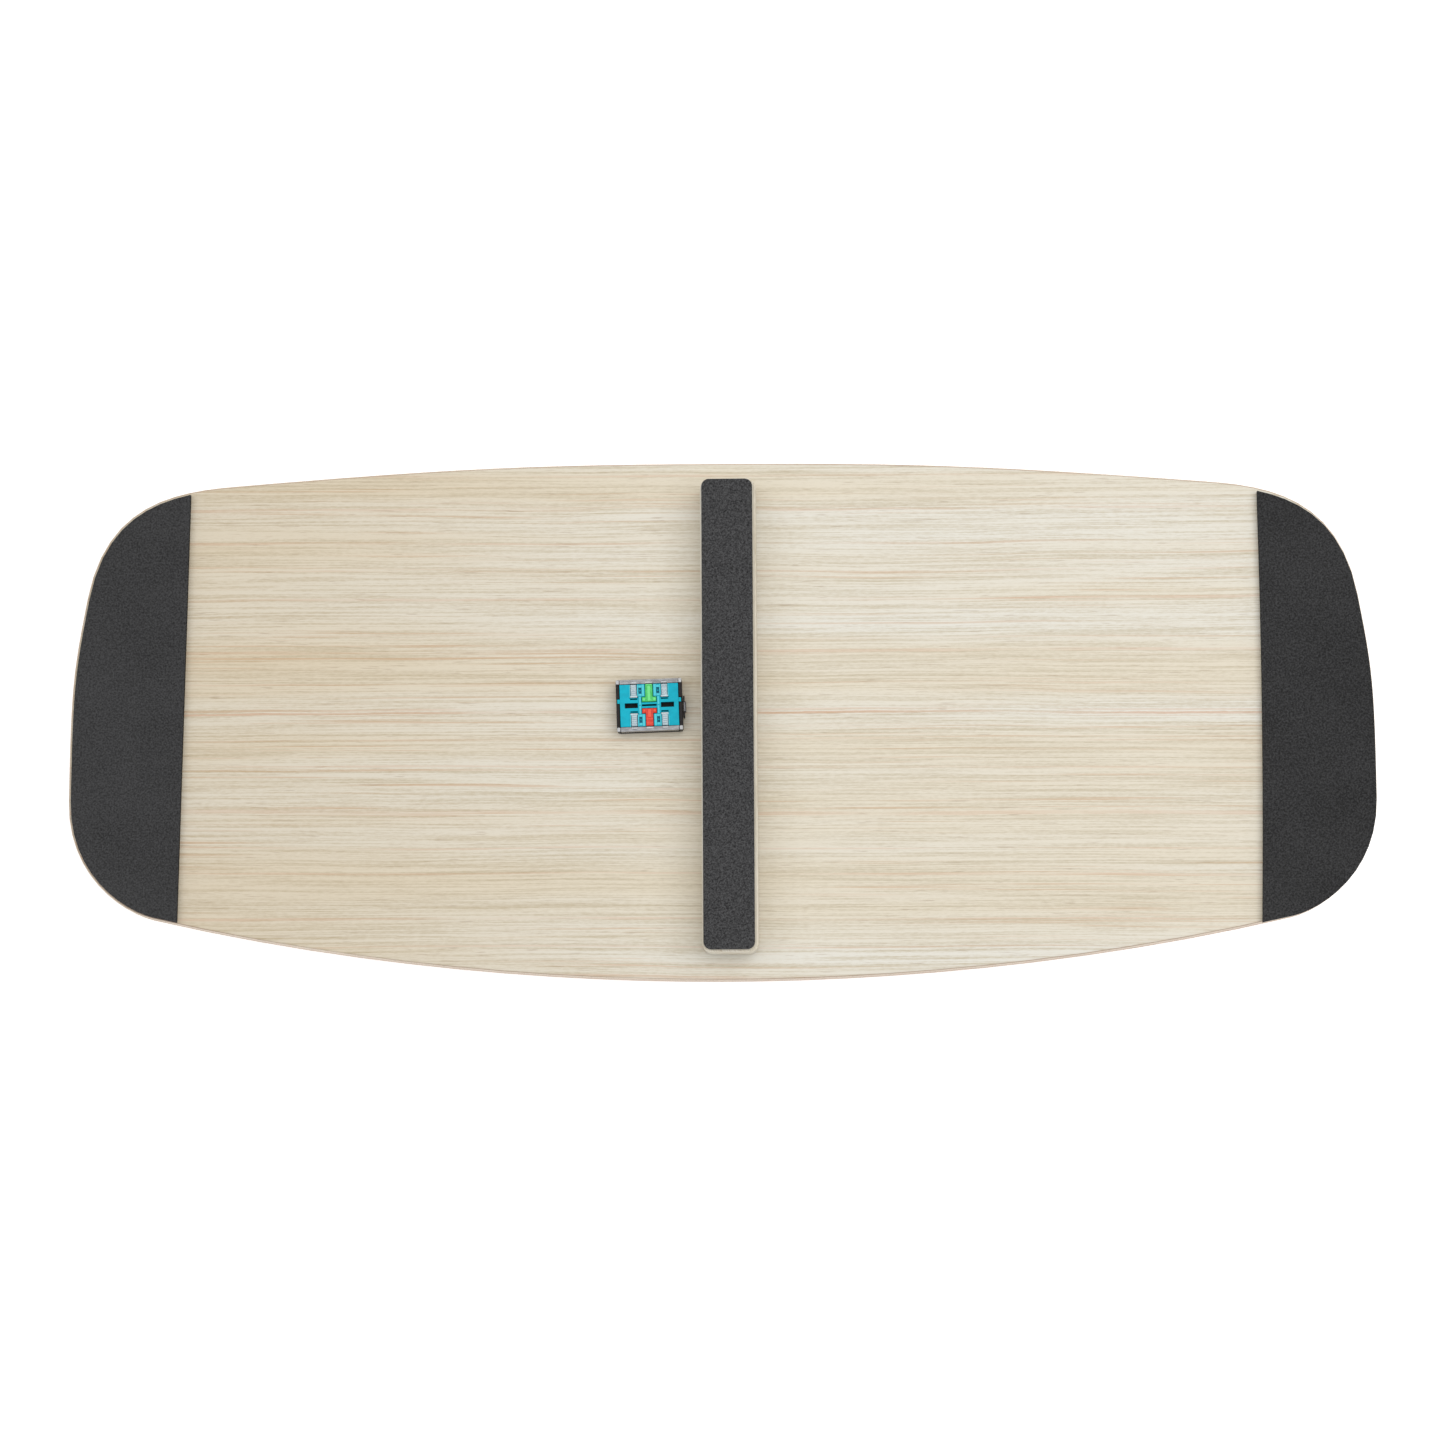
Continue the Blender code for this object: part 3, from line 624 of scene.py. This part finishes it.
def add_key_details(shape, matrix, word):
    """Lobes on the ends of the head, and a raised spine with cross ribs on the stem."""
    low = KEY_TOP - EMBED
    for x in (-3.15 * MM, 3.15 * MM):
        add_dome(shape, matrix, (x, 3.5 * MM, low), (1.15 * MM, 1.3 * MM, 0.75 * MM))
    spine_end = 12.1 * MM if word == "green" else 7.9 * MM
    high = KEY_TOP + 0.45 * MM
    spine = (
        (2.35 * MM, 0.55 * MM, low, KEY_TOP + 0.1 * MM),
        (3.0 * MM, 0.95 * MM, low, high),
        (spine_end - 0.5 * MM, 0.95 * MM, low, high),
        (spine_end, 0.7 * MM, low, KEY_TOP + 0.1 * MM),
    )
    add_bar(shape, matrix, 0, spine)
    ribs = (8.7, 11.2) if word == "red" else (12.5,)
    for y in ribs:
        add_block(shape, matrix, (4.0 * MM, 0.7 * MM), (0, y * MM), low, KEY_TOP + 0.3 * MM)


def add_carrier_relief(shape, matrix):
    """Raised frames round the recesses, and bars between the windows and the slot."""
    low = CARRIER_TOP - EMBED
    for side in (-1, 1):
        for x, width in ((3.62, 1.6), (6.78, 0.7)):
            size = (width * MM, 7.2 * MM)
            add_block(shape, matrix, size, (side * x * MM, 9.2 * MM), low, RELIEF_TOP)
        for y, depth in ((6.4, 1.3), (11.6, 1.4)):
            size = (1.8 * MM, depth * MM)
            add_block(shape, matrix, size, (side * 5.42 * MM, y * MM), low, RELIEF_TOP)
        divider = (1.2 * MM, 5.0 * MM)
        add_block(shape, matrix, divider, (side * 5.6 * MM, 2.8 * MM), low, RELIEF_TOP)
        tab = (1.1 * MM, 0.6 * MM)
        recess_floor = CARRIER_TOP - 1 * MM - EMBED
        add_block(shape, matrix, tab, (side * 5.45 * MM, 8.95 * MM), recess_floor, CARRIER_TOP)
        rim = (0.5 * MM, 7.9 * MM)
        add_block(shape, matrix, rim, (side * 11.75 * MM, 9.0 * MM), low, RELIEF_TOP)


def add_guide_details(shape, matrix, x):
    """A raised foot and the cross ridges of a clear light guide."""
    low = GUIDE_TOP - EMBED
    foot = (4.2 * MM, 0.8 * MM)
    add_block(shape, matrix, foot, (x, 5.4 * MM), low, GUIDE_TOP + 0.35 * MM)
    for step in range(5):
        y = (6.9 + 1.25 * step) * MM
        ridge = (2.7 * MM, 0.55 * MM)
        add_block(shape, matrix, ridge, (x, y), low, GUIDE_TOP + 0.25 * MM)


def add_bar_details(shape, matrix):
    """Raised bosses, a rail, and a cap over the tray's wall at each end of a clear bar."""
    low = GUIDE_TOP - EMBED
    for x, width in ((-GUIDE_X, 3.4 * MM), (0, 4.4 * MM), (GUIDE_X, 3.4 * MM)):
        size = (width, 1.0 * MM)
        add_block(shape, matrix, size, (x, 14.0 * MM), low, GUIDE_TOP + 0.3 * MM)
    rail = (35.0 * MM, 0.5 * MM)
    add_block(shape, matrix, rail, (0, 15.4 * MM), low, GUIDE_TOP + 0.2 * MM)
    for x in (-19.1 * MM, 19.1 * MM):
        add_block(shape, matrix, (1.9 * MM, 2.5 * MM), (x, 14.6 * MM), low, GUIDE_TOP + 0.35 * MM)


def make_module_shell(halves):
    """The tray, the carrier with its relief, and the latch clip."""
    tray = new_piece("tray_shell", "dark_plastic", BOARD, "module_tray")
    write_shape(tray, cad_shape("module_tray"))
    soften(tray, 0.25 * MM)
    carrier = new_piece("teal_carrier", "teal_plastic", BOARD, "module_carrier")
    shape = cad_shape("module_carrier")
    for matrix in halves:
        add_carrier_relief(shape, matrix)
    write_shape(carrier, shape)
    soften(carrier, 0.16 * MM)
    clip = new_piece("latch_clip", "dark_plastic", BOARD, "side_latch_clip")
    write_shape(clip, cad_shape("side_latch_clip"))
    soften(clip, 0.15 * MM)
    window = new_piece("latch_window", "clear_plastic", BOARD, look="smoky_plastic")
    shape = bmesh.new()
    add_block(shape, halves[0], (1.3 * MM, 5.6 * MM), (21.5 * MM, -1.6 * MM), 5.0 * MM, 8.3 * MM)
    write_shape(window, shape)
    soften(window, 0.2 * MM)


def make_keys(halves):
    """The two push keys, each on its own body."""
    for word, matrix in zip(("green", "red"), halves):
        key = new_piece(f"{word}_push_key", f"{word}_plastic", f"{word}_key_body", f"{word}_key")
        shape = cad_shape(f"{word}_key")
        add_key_details(shape, matrix, word)
        write_shape(key, shape)
        soften(key, 0.22 * MM, 3)


def make_clear_pieces(halves):
    """The light guides and the two end bars."""
    number = 0
    for matrix, word in zip(halves, ("upper", "lower")):
        for x in (-GUIDE_X, GUIDE_X):
            number += 1
            node = f"light_guide_{number}"
            guide = new_piece(f"clear_guide_{number}", "clear_plastic", BOARD, node)
            shape = cad_shape(node)
            add_guide_details(shape, matrix, x)
            write_shape(guide, shape)
            soften(guide, 0.15 * MM)
        node = f"clear_end_bar_{word}"
        bar = new_piece(f"clear_bar_{word}", "clear_plastic", BOARD, node, look="smoky_plastic")
        shape = cad_shape(node)
        add_bar_details(shape, matrix)
        write_shape(bar, shape)
        soften(bar, 0.2 * MM)


def make_module():
    """The small insert beside the batten, but for its springs."""
    halves = [half_matrix(turn) for turn in (0, 180)]
    make_module_shell(halves)
    make_keys(halves)
    make_clear_pieces(halves)


def make_springs():
    """The two coil springs, each with a mesh of its own."""
    for word in ("green", "red"):
        node = f"{word}_key_spring"
        spring = new_piece(f"{word}_coil", "spring_steel", BOARD, node)
        write_shape(spring, cad_shape(node))
        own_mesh(spring)


def dress_cad_nodes():
    """The CAD nodes that show as they are get their procedural materials."""
    shown = {
        "module_foam_tape": "foam_tape",
        "module_contact_board": "board_laminate",
        **{f"batten_screw_{number}": "screw_steel" for number in range(1, 6)},
    }
    for node, slot in shown.items():
        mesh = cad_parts[node].data
        mesh.materials.clear()
        mesh.materials.append(GRAPHS[slot].material)


# ---------------------------------------------------------------- floor


def make_floor():
    """A plain pale floor, bright enough to stay white."""
    graph = Graph("floor_white")
    dust = graph.noise(graph.place, (8.0, 8.0, 8.0), 2.0)
    graph.set(Base_Color=graph.mix(dust, (0.9, 0.9, 0.9, 1.0), (0.93, 0.93, 0.93, 1.0)))
    graph.set(Roughness=0.9, Specular_IOR_Level=0.1)
    graph.set(Emission_Color=(1.0, 1.0, 1.0, 1.0), Emission_Strength=0.45)
    shape = bmesh.new()
    bmesh.ops.create_grid(shape, x_segments=2, y_segments=2, size=6.0)
    mesh = bpy.data.meshes.new("floor")
    shape.to_mesh(mesh)
    shape.free()
    floor = bpy.data.objects.new("floor", mesh)
    floor.location.z = -0.2 * MM
    mesh.materials.append(graph.material)
    bpy.context.scene.collection.objects.link(floor)


GRAPHS = {
    "deck_wood": deck_wood(),
    "batten_wood": batten_wood(),
    "end_foam": foam(),
    "strip_rubber": rubber(),
    "adhesive_film": paper_film("adhesive_film", linear(196, 190, 172), linear(176, 168, 150)),
    "foam_tape": paper_film("foam_tape", linear(232, 232, 228), linear(212, 212, 206)),
    "board_laminate": paper_film("board_laminate", linear(3, 14, 14), linear(6, 22, 22)),
    "screw_steel": steel(),
    "spring_steel": steel(),
    "dark_plastic": plastic(
        "dark_plastic", linear(16, 12, 13), linear(26, 20, 21), 0.42, 0.0, 0.2
    ),
    "teal_plastic": teal_plastic(),
    "green_plastic": green_plastic(),
    "red_plastic": red_plastic(),
    "clear_plastic": clear_plastic(),
    "smoky_plastic": smoky_plastic(),
}

make_camera()
make_light()
make_floor()
make_deck()
make_pads()
make_batten()
make_module()
make_springs()
dress_cad_nodes()
